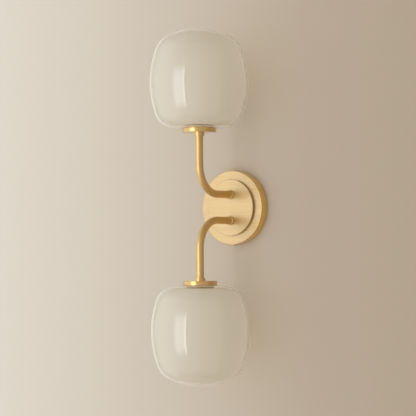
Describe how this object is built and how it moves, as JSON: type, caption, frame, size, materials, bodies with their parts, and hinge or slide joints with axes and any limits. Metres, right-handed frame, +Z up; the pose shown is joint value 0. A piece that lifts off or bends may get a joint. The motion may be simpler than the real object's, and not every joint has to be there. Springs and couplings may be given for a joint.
{
  "type": "double arm wall sconce",
  "caption": "Wall sconce with a round stepped brass plate, bent tube arms reaching up and down, and rounded barrel shades of cased cream glass on disc fitters.",
  "frame": {"origin": "centre of the wall plate's back, on the wall plane", "axes": "+Z up along the arms' spread, +Y into the wall, the sconce stands out towards -Y, +X to the right seen from the room"},
  "size_m": [0.164, 0.1865, 0.5962],
  "materials": {
    "plate_brass": "satin brushed brass plating, fine straight brushing",
    "tube_brass": "satin brass, drawn lengthwise",
    "trim_brass": "satin brass, turned",
    "disc_brass": "satin brass, turned",
    "contact_brass": "bare brass",
    "zinc_steel": "zinc plated",
    "gallery_aluminium": "bare, machined",
    "cased_glass": "polished clear casing over opal cream glass",
    "porcelain": "white glaze",
    "lamp_cap_metal": "nickel plated",
    "lamp_frosted_glass": "frosted white",
    "silicone": "translucent silicone",
    "black_insulation": "extruded insulation",
    "white_insulation": "extruded insulation",
    "green_insulation": "extruded insulation",
    "earth_green_paint": "green dyed zinc",
    "connector_plastic": "moulded"
  },
  "bodies": {
    "fixture": {"backplate_dish": "plate_brass", "backplate_face_disc": "plate_brass", "mounting_crossbar": "zinc_steel", "canopy_side_screws": "trim_brass", "ground_screw": "earth_green_paint", "ground_wire": "green_insulation", "wire_connectors": "connector_plastic", "upper_arm_tube": "tube_brass", "upper_arm_ferrule": "trim_brass", "upper_arm_nipple": "zinc_steel", "upper_arm_washer": "zinc_steel", "upper_arm_nut": "zinc_steel", "upper_arm_collar": "trim_brass", "upper_fitter_disc": "disc_brass", "upper_fitter_nut": "zinc_steel", "upper_holder_nipple": "zinc_steel", "upper_shade_gallery": "gallery_aluminium", "upper_lampholder_body": "porcelain", "upper_lampholder_shell": "contact_brass", "upper_lampholder_contact": "contact_brass", "upper_live_lead": "black_insulation", "upper_neutral_lead": "white_insulation", "lower_arm_tube": "tube_brass", "lower_arm_ferrule": "trim_brass", "lower_arm_nipple": "zinc_steel", "lower_arm_washer": "zinc_steel", "lower_arm_nut": "zinc_steel", "lower_arm_collar": "trim_brass", "lower_fitter_disc": "disc_brass", "lower_fitter_nut": "zinc_steel", "lower_holder_nipple": "zinc_steel", "lower_shade_gallery": "gallery_aluminium", "lower_lampholder_body": "porcelain", "lower_lampholder_shell": "contact_brass", "lower_lampholder_contact": "contact_brass", "lower_live_lead": "black_insulation", "lower_neutral_lead": "white_insulation"},
    "upper_shade_seat": {"upper_shade_gasket": "silicone"},
    "upper_shade": {"upper_shade_glass_base": "cased_glass", "upper_shade_glass_side": "cased_glass", "upper_shade_glass_crown": "cased_glass", "upper_shade_screw_ring": "gallery_aluminium"},
    "upper_lamp": {"upper_lamp_cap": "lamp_cap_metal", "upper_lamp_glass": "lamp_frosted_glass"},
    "lower_shade_seat": {"lower_shade_gasket": "silicone"},
    "lower_shade": {"lower_shade_glass_base": "cased_glass", "lower_shade_glass_side": "cased_glass", "lower_shade_glass_crown": "cased_glass", "lower_shade_screw_ring": "gallery_aluminium"},
    "lower_lamp": {"lower_lamp_cap": "lamp_cap_metal", "lower_lamp_glass": "lamp_frosted_glass"}
  },
  "joints": [
    {"name": "upper_shade_lift", "type": "slide", "parent": "fixture", "child": "upper_shade_seat", "axis": [0, 0, 1], "range_m": [0, 0.13]},
    {"name": "upper_shade_turn", "type": "hinge", "parent": "upper_shade_seat", "child": "upper_shade", "pos_m": [0, -0.1045, 0.13], "axis": [0, 0, 1], "range_deg": [0, 540]},
    {"name": "upper_lamp_turn", "type": "hinge", "parent": "fixture", "child": "upper_lamp", "pos_m": [0, -0.1045, 0.15], "axis": [0, 0, 1], "range_deg": [0, 1440]},
    {"name": "lower_shade_lift", "type": "slide", "parent": "fixture", "child": "lower_shade_seat", "axis": [0, 0, -1], "range_m": [0, 0.13]},
    {"name": "lower_shade_turn", "type": "hinge", "parent": "lower_shade_seat", "child": "lower_shade", "pos_m": [0, -0.1045, -0.13], "axis": [0, 0, -1], "range_deg": [0, 540]},
    {"name": "lower_lamp_turn", "type": "hinge", "parent": "fixture", "child": "lower_lamp", "pos_m": [0, -0.1045, -0.15], "axis": [0, 0, -1], "range_deg": [0, 1440]}
  ]
}
